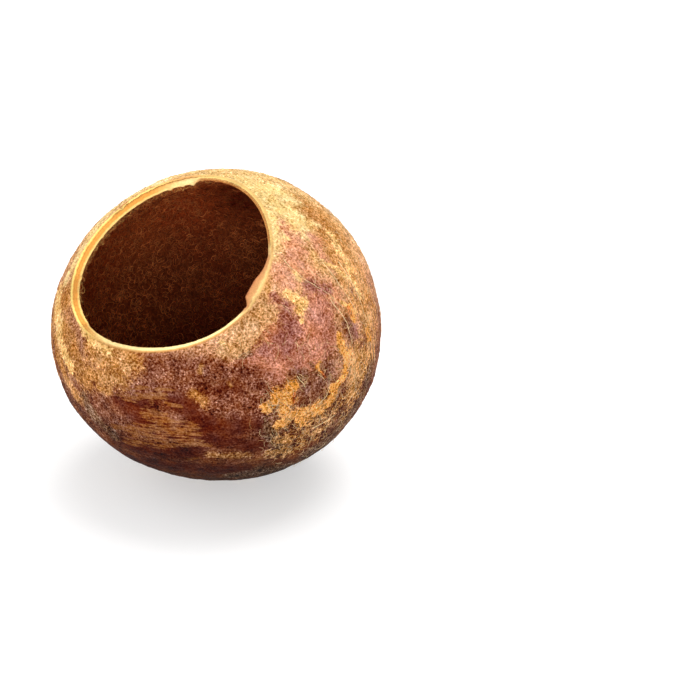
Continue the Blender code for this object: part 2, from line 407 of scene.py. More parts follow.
def window(turn, start, end, soft=STEP_SOFTNESS):
    """1 for a turn in degrees between start and end, fading to 0 over the soft angle at each side."""
    half = (end - start) / 2
    away = np.abs((turn - (start + end) / 2 + 180) % 360 - 180)
    return 1 - smooth(away, half - soft / 2, half + soft / 2)


def ledge(turn):
    """1 just past the ledge's step, falling to 0 at its far end."""
    turn = (turn + 180) % 360 - 180
    step = smooth(turn, LEDGE_STEP - STEP_SOFTNESS / 2, LEDGE_STEP + STEP_SOFTNESS / 2)
    return step * (1 - smooth(turn, LEDGE_FULL, LEDGE_END))


def direction(polar, turn):
    """The unit directions at angles from the mouth's axis and turns in degrees round it."""
    turn = np.radians(turn)[..., None]
    side = np.cos(turn) * MOUTH_RIGHT + np.sin(turn) * MOUTH_BACK
    polar = polar[..., None]
    return np.cos(polar) * MOUTH_AXIS + np.sin(polar) * side


def unit(vectors):
    """The vectors, each made 1 long."""
    return vectors / np.linalg.norm(vectors, axis=-1, keepdims=True)


def skin_radius(way):
    """Distance from the pod's middle to its smooth skin, for unit directions."""
    x, y, z = way[..., 0], way[..., 1], way[..., 2]
    oval = 1 / np.sqrt((x / HALF_WIDTH) ** 2 + (y / HALF_DEPTH) ** 2 + (z / HALF_HEIGHT) ** 2)
    swelling = (
        LEAN_TO_RIGHT * z * x
        + LEAN_TO_BACK * y * z
        + BACK_CROWN * y * (5 * z * z - 1)
        + SADDLE * z * (x * x - y * y)
        + THREE_SIDES * y * (3 * x * x - y * y)
    )
    away = HALF_HEIGHT * np.arccos(np.clip(-way @ MOUTH_AXIS, -1, 1)) / SCAR_RADIUS
    scar = SCAR_RING * np.exp(-(((away - 1.05) / 0.3) ** 2)) - SCAR_DEPTH * np.exp(-((away / 0.6) ** 2))
    return oval * (1 + swelling) + scar


def rim_wall(turn):
    """The wall's thickness at the mouth's edge."""
    thick = (RIM_WALL - NEAR_WALL) * window(turn, SPLINTER_TURN, THICK_END)
    flaked = (FLAKED_WALL - NEAR_WALL) * window(turn, LEDGE_END, SPLINTER_TURN)
    return NEAR_WALL + thick + flaked + LEDGE_WALL * ledge(turn)


def wall_at(share, turn):
    """The wall's thickness at a share of the way from the mouth's edge to the far pole."""
    body = BODY_WALL + (BASE_WALL - BODY_WALL) * smooth(share, 0.3, 0.9)
    return rim_wall(turn) + (body - rim_wall(turn)) * smooth(share, 0, RIM_WALL_SHARE)


def cut_height(turn, depth):
    """Height of the cut along the mouth's axis: a wobbling plane that leans inwards, with rounded edges."""
    wobble = SAW_WOBBLE * np.cos(np.radians(3 * (turn - SAW_WOBBLE_TURN)))
    lean = CUT_LEAN + (LEDGE_LEAN - CUT_LEAN) * ledge(turn)
    from_edge = np.minimum(depth, 1 - depth) * rim_wall(turn)
    corner = np.maximum(0.0, 1 - from_edge / EDGE_ROUNDING)
    rounding = EDGE_ROUNDING * (1 - np.sqrt(1 - corner**2))
    return MOUTH_HEIGHT + wobble - lean * rim_wall(turn) * depth - rounding


def rim_polar(turn, depth):
    """Angle from the mouth's axis at which this depth of the wall meets the cut."""
    wanted = cut_height(turn, depth)
    low = np.full(turn.shape, math.radians(10))
    high = np.full(turn.shape, math.radians(80))
    for _ in range(26):
        middle = (low + high) / 2
        radius = skin_radius(direction(middle, turn)) - depth * rim_wall(turn)
        outside = radius * np.cos(middle) > wanted
        low = np.where(outside, middle, low)
        high = np.where(outside, high, middle)
    return middle


def place(turn, share, depth):
    """Points of the wall, and their unit directions from the pod's middle."""
    rim = rim_polar(turn, np.clip(depth, 0, 1))
    way = direction(rim + share * (math.pi - rim), turn)
    radius = skin_radius(way) - depth * wall_at(share, turn)
    return way * radius[..., None], way


def pod_middle():
    """Where the pod's middle stands: over the middle of the solid's box, sunk until its flat is cut."""
    turn, share = np.meshgrid(np.arange(0, 360, 3.0), np.linspace(0, 1, 121))
    points, _ = place(turn, share, np.zeros(turn.shape))
    low, high = points.min(axis=(0, 1)), points.max(axis=(0, 1))
    box_low, box_high = (np.array(corner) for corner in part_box("pod_shell"))
    middle = (box_low + box_high) / 2 - (low + high) / 2
    middle[2] = box_high[2] - high[2]
    return middle


MIDDLE = pod_middle()


def camera_axes():
    """The view's right, up and back directions."""
    right = np.array([math.cos(VIEW_AZIMUTH), math.sin(VIEW_AZIMUTH), 0])
    level = math.cos(VIEW_ELEVATION)
    rise = math.sin(VIEW_ELEVATION)
    back = np.array([math.sin(VIEW_AZIMUTH) * level, -math.cos(VIEW_AZIMUTH) * level, rise])
    return right, np.cross(back, right), back


def camera_place():
    """Where the camera stands, relative to the pod's middle."""
    right, up, back = camera_axes()
    aside = right * (PHOTO_SIZE[0] / 2 - POD_PIXEL[0]) * MM_PER_PIXEL
    below = up * (VIEW_RISE - (PHOTO_SIZE[1] / 2 - POD_PIXEL[1]) * MM_PER_PIXEL)
    return aside + below + back * VIEW_DISTANCE


def surface_at(pixel):
    """The point of the smooth skin, relative to the pod's middle, that the photograph shows at a pixel."""
    right, up, back = camera_axes()
    start = camera_place()
    across = (pixel[0] - PHOTO_SIZE[0] / 2) * MM_PER_PIXEL
    down = (pixel[1] - PHOTO_SIZE[1] / 2) * MM_PER_PIXEL
    ray = unit(right * across - up * down - back * VIEW_DISTANCE)
    inside = -start @ ray
    outside = inside - 2 * HALF_WIDTH
    for _ in range(30):
        middle = (inside + outside) / 2
        point = start + ray * middle
        if np.linalg.norm(point) < skin_radius(unit(point)):
            inside = middle
        else:
            outside = middle
    way = unit(start + ray * inside)
    return way * skin_radius(way)


def stroke_field(points, strokes):
    """How near each point is to the strokes: 1 on a stroke's line, 0.5 at its half width, 0 far off."""
    field = np.zeros(len(points))
    points = points + wavering(points)
    for half_width, *pixels in strokes:
        line = [surface_at(pixel) for pixel in zip(pixels[::2], pixels[1::2])]
        away = np.full(len(points), np.inf)
        for start, end in zip(line, line[1:]):
            run = end - start
            share = np.clip((points - start) @ run / (run @ run), 0, 1)
            away = np.minimum(away, np.linalg.norm(points - start - share[:, None] * run, axis=1))
        field = np.maximum(field, 1 - smooth(away / (half_width * MM), 0, 2))
    return field


def grown_noise(points, size, seed, octaves):
    """Soft 3-D noise of about 0 to 1 at the points, its features about size across."""
    offset = Vector((seed * 17.3, seed * -9.1, seed * 5.7))
    scale = 1 / size
    values = [noise.fractal(Vector(point) * scale + offset, 1.0, 2.0, octaves) for point in points]
    return 0.5 + 0.5 * np.array(values)


def cell_noise(points, size, seed):
    """Rounded pebbles about size across: 1 at a pebble's middle, 0 between pebbles."""
    offset = Vector((seed * 3.1, seed * 7.7, seed * -4.3))
    scale = 1 / size
    near = np.array([noise.voronoi(Vector(point) * scale + offset)[0][:2] for point in points])
    return smooth(near[:, 1] - near[:, 0], 0, 0.5)


def wavering(points):
    """Small shifts of the points that make a straight stroke's outline wander."""
    noise.seed_set(WANDER_SEED)
    scale = 1 / WANDER_STRETCH
    return np.array([noise.noise_vector(Vector(point) * scale) for point in points]) * WANDER


def ring_sizes(shares, most):
    """How many points each ring has: most on wide rings, and half as many each time a ring gets tight."""
    sizes = []
    for share in shares:
        size = most
        while size > 8 and math.sin(MOUTH_POLAR + share * (math.pi - MOUTH_POLAR)) < 0.56 * size / most:
            size //= 2
        sizes.append(size)
    return sizes


class Shell:
    """A closed turned surface: rings of points from pole to pole, each with its turn, share and depth."""

    def __init__(self):
        self.turn, self.share, self.depth, self.rings = [], [], [], []
        self.count = 0

    def ring(self, size, share, depth):
        """Adds a ring of this many points; a size of 1 is a pole."""
        self.rings.append(np.arange(self.count, self.count + size))
        self.turn.append(np.arange(size) * 360 / size)
        self.share.append(np.full(size, share))
        self.depth.append(np.full(size, depth))
        self.count += size

    def coordinates(self):
        return np.concatenate(self.turn), np.concatenate(self.share), np.concatenate(self.depth)

    def unrolled(self):
        """Each point's place on the unrolled surface, by its turn and its row."""
        rows = [np.full(len(ring), row / (len(self.rings) - 1)) for row, ring in enumerate(self.rings)]
        return np.column_stack((np.concatenate(self.turn) / 360, np.concatenate(rows)))

    def faces(self):
        """Faces between neighbouring rings, whose sizes are the same, double or half, or 1."""
        faces = []
        for first, second in zip(self.rings, self.rings[1:]):
            faces += join_rings(first, second)
        return faces


def join_rings(first, second):
    """Faces between two rings, outwards when the first lies nearer the mouth on the outside."""
    if len(first) < len(second):
        return [face[::-1] for face in join_rings(second, first)]
    first_next, second_next = np.roll(first, -1), np.roll(second, -1)
    if len(second) == 1:
        return [(second[0], b, a) for a, b in zip(first, first_next)]
    if len(first) == len(second):
        return list(zip(first, second, second_next, first_next))
    faces = []
    for k, (low, high) in enumerate(zip(second, second_next)):
        a, b, c = first[2 * k], first[2 * k + 1], first_next[2 * k + 1]
        faces += [(a, low, b), (b, low, high), (b, high, c)]
    return faces


def make_piece(name, points, shell, fields):
    """The shell's mesh object standing where the pod stands, with its fields as attributes of its points."""
    mesh = bpy.data.meshes.new(name)
    mesh.from_pydata((points + MIDDLE).tolist(), [], [tuple(map(int, face)) for face in shell.faces()])
    add_fields(mesh, fields)
    unrolled = shell.unrolled()
    places = []
    for face in mesh.polygons:
        corners = unrolled[list(face.vertices)]
        if np.ptp(corners[:, 0]) > 0.5:
            corners[corners[:, 0] < 0.5, 0] += 1
        places += corners.tolist()
    add_map(mesh, places)
    mesh.shade_smooth()
    return add_object(name, mesh)


def add_fields(mesh, fields):
    """Puts named values on a mesh's points."""
    for field, values in fields.items():
        attribute = mesh.attributes.new(field, "FLOAT", "POINT")
        attribute.data.foreach_set("value", np.ascontiguousarray(values, dtype=np.float32))


def add_map(mesh, places):
    """Gives a mesh its unrolled map, a place for each corner of each face."""
    layer = mesh.uv_layers.new(name="OFBake")
    layer.data.foreach_set("uv", np.asarray(places, dtype=np.float32).ravel())


def add_object(name, data):
    """An object of this mesh, lamp or lens, in the scene."""
    made = bpy.data.objects.new(name, data)
    bpy.context.scene.collection.objects.link(made)
    return made


def unseen(way):
    """1 where the photograph doesn't show the skin, fading to 0 where it does."""
    _, _, back = camera_axes()
    return 1 - smooth(way @ back, -0.05, 0.25)


def skin_fields(points, way, turn, share, depth):
    """The skin's marks and its roughness, as soft fields of about 0 to 1."""
    hidden = unseen(way)
    broad = grown_noise(points, *BROAD)
    patchy = grown_noise(points, *PATCHY)
    blotch = grown_noise(points, *BLOTCHY)
    spotty = grown_noise(points, *SPOTTY)
    low = smooth(-points[:, 2], 5 * MM, 30 * MM)
    high = 1 - low
    grown = {
        "gold": smooth(patchy, 0.64, 0.82),
        "straw": high * smooth(spotty, 0.62, 0.82),
        "tan": smooth(broad, 0.5, 0.72),
        "fleck": low * smooth(patchy, 0.5, 0.75),
        "mauve": smooth(blotch, 0.5, 0.72),
        "plum": smooth(1 - patchy, 0.68, 0.86),
        "russet": smooth(1 - patchy, 0.5, 0.72),
        "streaks": smooth(1 - spotty, 0.55, 0.8),
        "maroon": (0.25 + 0.75 * low) * smooth(1 - broad, 0.52, 0.72),
        "pale": high * smooth(1 - blotch, 0.58, 0.82),
        "dust": 0.8 * low,
        "scuff": low * smooth(blotch, 0.45, 0.7),
    }
    fields = {}
    for name, strokes, strength, *_ in PATCHES:
        seen = stroke_field(points, strokes)
        fields[name] = strength * np.maximum(seen, UNSEEN_STRENGTH * hidden * grown.get(name, 0))
    fields |= {
        "grain": 1 - 0.7 * smooth(-points[:, 2], 10 * MM, 24 * MM),
        "cut": np.where(depth > 0.001, 1.0, 0.0),
        "cut_depth": np.where(share > 1e-6, np.round(depth), depth),
        "height": 0.5 + 0.5 * points[:, 2] / HALF_HEIGHT + 0.16 * (broad - 0.5),
        "ledge": np.where(depth > 0, window(turn, LEDGE_STEP - 6, LEDGE_END + 4, 8), 0),
        "layered": window(turn, 122, 250, 30),
        "cracked": window(turn, 96, 160, 16),
        "laminated": window(turn, 24, SPLINTER_TURN, 10),
    }
    fields["grain"][depth > 0] = 0.15
    return fields


def skin_relief(points, depth, grain):
    """How far the skin stands out from the smooth form: dents, lumps and a pebbled grain."""
    relief = DENT_HEIGHT * (grown_noise(points, *DENTS) - 0.5)
    relief += LUMP_HEIGHT * (grown_noise(points, *LUMPS) - 0.5)
    relief += PEBBLE_HEIGHT * grain * (cell_noise(points, *PEBBLES) - 0.5)
    return np.where(depth > 0, 0, relief)


def pod_rind():
    """The skin and the cut edge, closed by a plain back that the lining covers."""
    shell = Shell()
    shares = np.linspace(0, 1, SKIN_ROWS + 1)[1:-1]
    shell.ring(1, 1.0, HIDDEN_DEPTH)
    for share, size in reversed(HIDDEN_RINGS):
        shell.ring(size, share, HIDDEN_DEPTH)
    for share in (0.035, 0.022, 0.011):
        shell.ring(SKIN_TURNS, share, 1.0)
    for depth in np.linspace(1, 0, CUT_ROWS + 1):
        shell.ring(SKIN_TURNS, 0.0, depth)
    for share, size in zip(shares, ring_sizes(shares, SKIN_TURNS)):
        shell.ring(size, share, 0.0)
    shell.ring(1, 1.0, 0.0)
    turn, share, depth = shell.coordinates()
    points, way = place(turn, share, depth)
    fields = skin_fields(points, way, turn, share, depth)
    relief = skin_relief(points, depth, fields["grain"])
    near_edge = smooth(share, 0, 0.02)
    points = points + way * (relief * near_edge)[:, None]
    sawn = (share < 1e-6) & (depth > 0)
    points = points + MOUTH_AXIS * (cut_relief(points, turn, depth) * sawn)[:, None]
    table = -MIDDLE[2]
    points[:, 2] = np.maximum(points[:, 2], table)
    return make_piece("pod_rind", points, shell, fields)


def cut_relief(points, turn, depth):
    """The saw cut's own relief: a groove along the soft middle layer, torn layers, and nicks."""
    groove = -GROOVE_DEPTH * np.exp(-(((depth - 0.5) / 0.14) ** 2)) * window(turn, 100, 235, 30)
    torn = TORN_HEIGHT * np.sin(depth * 26) * window(turn, 20, SPLINTER_TURN, 8)
    ragged = RAGGED_HEIGHT * (grown_noise(points, *RAGGED_CUT) - 0.5)
    nicks = np.zeros(len(points))
    for middle, at_depth, width, down in NICKS:
        aside = (turn - middle + 180) % 360 - 180
        nicks -= down * MM * np.exp(-((aside / width) ** 2) - ((depth - at_depth) / 0.3) ** 2)
    return groove + torn + ragged + nicks


def pod_lining():
    """The felted inside, with a tufty pile; its other face is buried in the wall."""
    shell = Shell()
    shell.ring(1, 1.0, 1.0)
    shares = np.linspace(1, 0, LINING_ROWS + 1)[1:]
    for share, size in zip(shares, ring_sizes(shares, LINING_TURNS)):
        shell.ring(size, share, 1.0)
    shell.ring(LINING_TURNS, 0.0, 0.93)
    for share, size in HIDDEN_RINGS[1:]:
        shell.ring(size, share, HIDDEN_DEPTH + 0.08)
    shell.ring(1, 1.0, HIDDEN_DEPTH + 0.08)
    turn, share, depth = shell.coordinates()
    angle = np.radians(turn)
    edge = np.stack((np.cos(angle), np.sin(angle), 0 * angle), axis=1)
    ragged = 0.013 + 0.016 * grown_noise(edge, *FELT_EDGE)
    share = np.where(depth > 0.9, share + ragged * (1 - share), share)
    points, way = place(turn, share, depth)
    tufts = grown_noise(points, *TUFTS)
    rows_in = smooth(share - ragged, 0, 0.03)
    pile = np.where(depth > 0.95, FELT_HEIGHT + TUFT_HEIGHT * rows_in * tufts, 0)
    points = points - way * pile[:, None]
    fields = {
        "broad": grown_noise(points, *FELT_BROAD),
        # Painted shade: 1 at the mouth, falling to 0 deeper inside, where the felt is painted darker
        "sunk": 1 - smooth(share, 0.15, 0.6),
        # Painted light and painted shade on the felt, in places
        "shade": felt_painted_light_and_shade(points),
    }
    return make_piece("fibre_lining", points, shell, fields)


def random_round(count, draw, low, high):
    """Even random places round the pod, between two shares of the way down, as turns and shares."""
    span = math.pi - MOUTH_POLAR
    top, bottom = (math.cos(MOUTH_POLAR + share * span) for share in (low, high))
    polar = np.arccos(top + (bottom - top) * draw.random(count))
    return 360 * draw.random(count), (polar - MOUTH_POLAR) / span


def hair_sizes(kind, count, draw):
    """Random lengths, curls, heights and radii for a kind of hair."""
    return [(least + more * draw.random(count) ** power) * MM for least, more, power in kind]


def curly_hairs(name, roots, out, hollow, heading, sizes, tones, draw):
    """Fine curled hairs: three-sided tubes that leave the surface, curl over it and dip again.

    Out points away from the surface at each root, hollow is 1 on the pod's inside and -1 on its skin, and a
    heading of 0 runs along the surface away from the mouth.
    """
    lengths, curls, heights, radius = sizes
    across = unit(np.cross(out, MOUTH_AXIS))
    along = np.cross(out, across)
    bend = draw.choice((-1, 1), len(roots)) * lengths / curls
    step = np.linspace(0, 1, HAIR_RINGS + 1)
    angle = heading[:, None] + bend[:, None] * (step - 0.5) * (1 + 0.5 * step)
    stride = lengths[:, None] / HAIR_RINGS
    x = np.cumsum(np.cos(angle) * stride, axis=1) - np.cos(angle[:, :1]) * stride
    y = np.cumsum(np.sin(angle) * stride, axis=1) - np.sin(angle[:, :1]) * stride
    lift = heights[:, None] * np.sin(math.pi * step**0.8 * 0.9) + hollow * (x * x + y * y) / (2 * HALF_HEIGHT)
    lift += np.where(step == 0, -0.1 * MM, 0.05 * MM)
    line = roots[:, None] + along[:, None] * x[..., None] + across[:, None] * y[..., None]
    line = line + out[:, None] * lift[..., None]
    return hair_mesh(name, line, radius, tones)


def hair_mesh(name, line, radius, tones):
    """Three-sided closed tubes that end in points, one along each row of the line's points."""
    count, rows = line.shape[:2]
    run = unit(np.gradient(line, axis=1))
    side = unit(np.cross(run, -unit(line)))
    up = np.cross(side, run)
    taper = radius[:, None] * np.linspace(1, 0.45, rows)
    rings = rows - 1
    tube = [
        line[:, :rings] + (side * math.cos(turn) + up * math.sin(turn))[:, :rings] * taper[:, :rings, None]
        for turn in (math.pi / 2, math.pi * 11 / 6, math.pi * 7 / 6)
    ]
    points = np.concatenate((np.stack(tube, axis=2).reshape(count, rings * 3, 3), line[:, -1:]), axis=1)
    pattern, spots = hair_pattern(rings)
    each = rings * 3 + 1
    mesh = bpy.data.meshes.new(name)
    firsts = range(0, count * each, each)
    faces = [[first + corner for corner in face] for first in firsts for face in pattern]
    mesh.from_pydata((points.reshape(-1, 3) + MIDDLE).tolist(), [], faces)
    add_fields(mesh, {"tone": np.repeat(tones, each)})
    grid = math.ceil(math.sqrt(count))
    corner = np.stack((np.arange(count) % grid, np.arange(count) // grid), axis=1)
    add_map(mesh, ((corner[:, None] + 0.1 + 0.8 * spots[None]) / grid).reshape(-1, 2))
    mesh.shade_smooth()
    return add_object(name, mesh)


def hair_pattern(rings):
    """The faces of one hair, and where their corners lie on its unrolled square."""
    faces, spots = [(2, 1, 0)], [(0.9, 0.02), (0.5, 0.0), (0.1, 0.02)]
    for ring in range(rings - 1):
        for side in range(3):
            a, b = ring * 3 + side, ring * 3 + (side + 1) % 3
            faces.append((a, b, b + 3, a + 3))
            low, high = 0.05 + 0.9 * ring / rings, 0.05 + 0.9 * (ring + 1) / rings
            spots += [(side / 3, low), ((side + 1) / 3, low), ((side + 1) / 3, high), (side / 3, high)]
    for side in range(3):
        a, b = (rings - 1) * 3 + side, (rings - 1) * 3 + (side + 1) % 3
        faces.append((a, b, rings * 3))
        spots += [(side / 3, 0.85), ((side + 1) / 3, 0.85), ((side + 0.5) / 3, 1.0)]
    return faces, np.array(spots)


def felt_painted_light_and_shade(points):
    """How much painted light makes the felt paler at points of the lining, or painted shade darker where it
    is under 0.
    """
    shade = np.zeros(len(points))
    for turn, share, reach, amount in FELT_PAINTED_LIGHT_AND_SHADE:
        centre, _ = place(np.array([float(turn)]), np.array([share]), np.ones(1))
        away = np.linalg.norm(points - centre, axis=1) / reach
        shade += amount * np.exp(-(away**2))
    return shade


def felt_hairs():
    """The lining's hairs, in a few pieces of the same kind."""
    pieces = []
    count = HAIRS_A_PIECE
    for part in range(HAIR_PIECES):
        draw = np.random.default_rng(100 + part)
        turn, share = random_round(count, draw, 0.03, 1.0)
        roots, way = place(turn, share, np.ones(count))
        heading = math.tau * draw.random(count)
        sizes = hair_sizes(FELT_SIZES, count, draw)
        clumps = smooth(grown_noise(roots, *CLUMPS), 0.3, 0.7)
        # Each hair's tone carries the felt's painted light and painted shade
        tones = 0.35 + 0.23 * clumps + 0.19 * draw.random(count) + felt_painted_light_and_shade(roots)
        pieces.append(curly_hairs(f"felt_hairs_{part + 1}", roots, -way, 1, heading, sizes, tones, draw))
    return pieces


def rim_bristles():
    """Pale bristles just inside the mouth, thickest on the left, and frayed bits by the splinter."""
    draw = np.random.default_rng(7)
    count = BRISTLES
    on_left = draw.random(count) < 0.85
    left = BRISTLES_TURN + BRISTLES_SPREAD * draw.standard_normal(count)
    turn = np.where(on_left, left, 360 * draw.random(count))
    share = 0.004 + 0.05 * draw.random(count) ** 1.5
    tones = draw.random(count)
    frayed = np.arange(count) < FRAYED_BITS
    turn[frayed] = FRAYED_TURN + FRAYED_SPREAD * draw.standard_normal(FRAYED_BITS)
    share[frayed] = 0.002 + 0.018 * draw.random(FRAYED_BITS)
    tones[frayed] = 0.15 + 0.7 * draw.random(FRAYED_BITS) ** 2
    roots, way = place(turn, share, np.ones(count))
    heading = 0.9 * draw.standard_normal(count) + math.pi * (draw.random(count) < 0.3)
    sizes = hair_sizes(BRISTLE_SIZES, count, draw)
    lengths, _, _, radius = sizes
    lengths[frayed] *= 0.6
    radius[frayed] *= 1.8
    return curly_hairs("rim_bristles", roots, -way, 1, heading, sizes, tones, draw)


def random_along(strokes, count, draw):
    """Random points of the smooth skin within the strokes."""
    pieces, weights = [], []
    for half_width, *pixels in strokes:
        line = list(zip(pixels[::2], pixels[1::2]))
        for start, end in zip(line, line[1:]):
            pieces.append((start, end, half_width * MM / MM_PER_PIXEL))
            weights.append(math.dist(start, end) + 2)
    chosen = draw.choice(len(pieces), count, p=np.array(weights) / sum(weights))
    points = []
    for index in chosen:
        start, end, reach = pieces[index]
        share = draw.random()
        pixel = [start[axis] + share * (end[axis] - start[axis]) + reach * draw.normal() for axis in range(2)]
        points.append(surface_at(pixel))
    return np.array(points)


def skin_fibres():
    """Loose pale fibres that lie on the skin, mostly over its flaked and streaky parts."""
    draw = np.random.default_rng(11)
    marked = random_along(FIBRE_PLACES, FIBRES, draw)
    count = 6 * OTHER_FIBRES
    tries, way = place(*random_round(count, draw, 0.15, 0.95), np.zeros(count))
    usable = (unseen(way) > 0.5) & (tries[:, 2] > LOWEST_FIBRE)
    roots = np.concatenate((marked, tries[usable][:OTHER_FIBRES]))
    out = unit(roots)
    clear = out @ MOUTH_AXIS < math.cos(FIBRE_NEAREST)
    roots, out = roots[clear], out[clear]
    count = len(roots)
    heading = 0.25 + 0.7 * draw.standard_normal(count) + math.pi * (draw.random(count) < 0.5)
    sizes = hair_sizes(FIBRE_SIZES, count, draw)
    return curly_hairs("skin_fibres", roots, out, -1, heading, sizes, draw.random(count), draw)


def long_fibres():
    """The few long pale fibres that run over the right side."""
    lines = []
    for pixels in LONG_FIBRES:
        points = np.array([surface_at(pixel) for pixel in pixels])
        step = np.linspace(0, len(points) - 1, LONG_RINGS)
        known = np.arange(len(points))
        line = np.stack([np.interp(step, known, points[:, axis]) for axis in range(3)], axis=1)
        way = unit(line)
        waver = WAVER_WIDTH * (grown_noise(line, *FIBRE_WAVER) - 0.5)
        over = way * (skin_radius(way) + LONG_LIFT)[:, None]
        lines.append(over + np.cross(way, MOUTH_AXIS) * waver[:, None])
    count = len(lines)
    return hair_mesh("long_fibres", np.array(lines), np.full(count, LONG_RADIUS), np.full(count, LONG_TONE))


def screen_colour(tint):
    """A colour as it shows on a screen, from 0 to 255, in shares of 1."""
    return (*(part / 255 for part in tint), 1)


class Finish:
    """A material whose nodes are made and joined by short calls."""

    def __init__(self, name):
        self.material = bpy.data.materials.new(name)
        self.material.use_nodes = True
        self.tree = self.material.node_tree
        self.shader = self.tree.nodes["Principled BSDF"]
        self.where = self.tree.nodes.new("ShaderNodeTexCoord").outputs["Object"]

    def node(self, kind, inputs, output=0, **settings):
        """One output of a new node with these inputs and settings."""
        made = self.tree.nodes.new(kind)
        for name, value in settings.items():
            setattr(made, name, value)
        for name, value in inputs.items():
            self.feed(made.inputs[name], value)
        return made.outputs[output]

    def feed(self, socket, value):
        """Joins a socket to an output, or sets it to a number, a vector or a colour."""
        if isinstance(value, bpy.types.NodeSocket):
            self.tree.links.new(value, socket)
        elif socket.type == "RGBA":
            socket.default_value = screen_colour(value)
        else:
            socket.default_value = value

    def surface(self, name, value):
        """Sets an input of the material's surface."""
        self.feed(self.shader.inputs[name], value)

    def field(self, name):
        return self.node("ShaderNodeAttribute", {}, "Fac", attribute_name=name)

    def math(self, operation, first, second=0.0, third=0.0):
        return self.node("ShaderNodeMath", {0: first, 1: second, 2: third}, operation=operation)

    def noise(self, size, detail, roughness, stretch=(1, 1, 1), kind="FBM"):
        """Noise of about 0.3 to 0.7 whose features are about this size in millimetres."""
        where = self.node("ShaderNodeMapping", {"Vector": self.where, "Scale": stretch})
        inputs = {"Vector": where, "Scale": 1000 / size, "Detail": detail, "Roughness": roughness}
        return self.node("ShaderNodeTexNoise", inputs, noise_type=kind)

    def net(self, size, warp):
        """1 on the ridges of a net with meshes of about this size in millimetres, 0 in its pits."""
        inputs = {"Vector": self.where, "Scale": 700 / size, "Detail": 2.0}
        shift = self.node("ShaderNodeTexNoise", inputs, "Color")
        inputs = {"Vector": self.shifted(self.where, shift, (warp * size * MM,) * 3), "Scale": 1000 / size}
        edge = self.node("ShaderNodeTexVoronoi", inputs, "Distance", feature="DISTANCE_TO_EDGE")
        return self.spread(edge, 0.0, 0.32, 1.0, 0.0)

    def spread(self, value, low, high, to_low=0.0, to_high=1.0):
        """A value of low to high as one of to_low to to_high, along an S-curve."""
        inputs = {0: value, 1: low, 2: high, 3: to_low, 4: to_high}
        return self.node("ShaderNodeMapRange", inputs, interpolation_type="SMOOTHSTEP")

    def swung(self, value, noise, amount):
        """The value moved up and down by a noise around 0.5."""
        return self.math("MULTIPLY_ADD", self.math("SUBTRACT", noise, 0.5), amount, value)

    def mix(self, share, first, second):
        return self.node("ShaderNodeMix", {0: share, 6: first, 7: second}, 2, data_type="RGBA")

    def patch(self, field, speckle, amount, soft):
        """1 inside a field's patch and 0 outside, its edge broken up by the speckle noise."""
        uneven = self.swung(field, speckle, self.spread(field, 0.0, 0.4, 0.0, amount))
        return self.spread(uneven, 0.5 - soft, 0.5 + soft)

    def ramp(self, value, stops):
        """The colour that goes with a value of 0 to 1, between the stops' colours."""
        tint = self.node("ShaderNodeValToRGB", {0: value})
        elements = tint.node.color_ramp.elements
        for index, (place, *shade) in enumerate(stops):
            element = elements[index] if index < 2 else elements.new(place)
            element.position = place
            element.color = screen_colour(shade)
        return tint

    def scaled(self, tint, value):
        """The tint made darker or lighter by a value of about 1."""
        return self.node("ShaderNodeVectorMath", {0: tint, 3: value}, operation="SCALE")

    def shifted(self, tint, value, shift=(1, 1, 1)):
        """The tint, or a place, with a value's worth of the shift added."""
        return self.node("ShaderNodeVectorMath", {0: value, 1: shift, 2: tint}, operation="MULTIPLY_ADD")

    def paint(self, tint):
        """Makes a tint, as it shows on a screen, the material's colour."""
        self.surface("Base Color", self.node("ShaderNodeGamma", {"Color": tint, "Gamma": 2.2}))

    def bump(self, height, distance):
        """Small relief of this height in millimetres, felt only by the light."""
        self.surface("Normal", self.node("ShaderNodeBump", {"Height": height, "Distance": distance * MM}))


def rind_finish():
    """Mottled red-brown skin with a pitted grain, and the pale layered cut."""
    finish = Finish("rind")
    speck, fine, middling = (finish.noise(*kind) for kind in (SPECK, FINE, MIDDLING))
    tone, grain = skin_tone(finish, speck, fine, middling)
    finish.paint(finish.mix(finish.field("cut"), tone, cut_tone(finish, speck, fine)))
    finish.surface("Roughness", finish.spread(middling, 0.3, 0.7, 0.55, 0.72))
    finish.surface("Specular IOR Level", RIND_SHINE)
    finish.bump(grain, RIND_BUMP)
    return finish.material


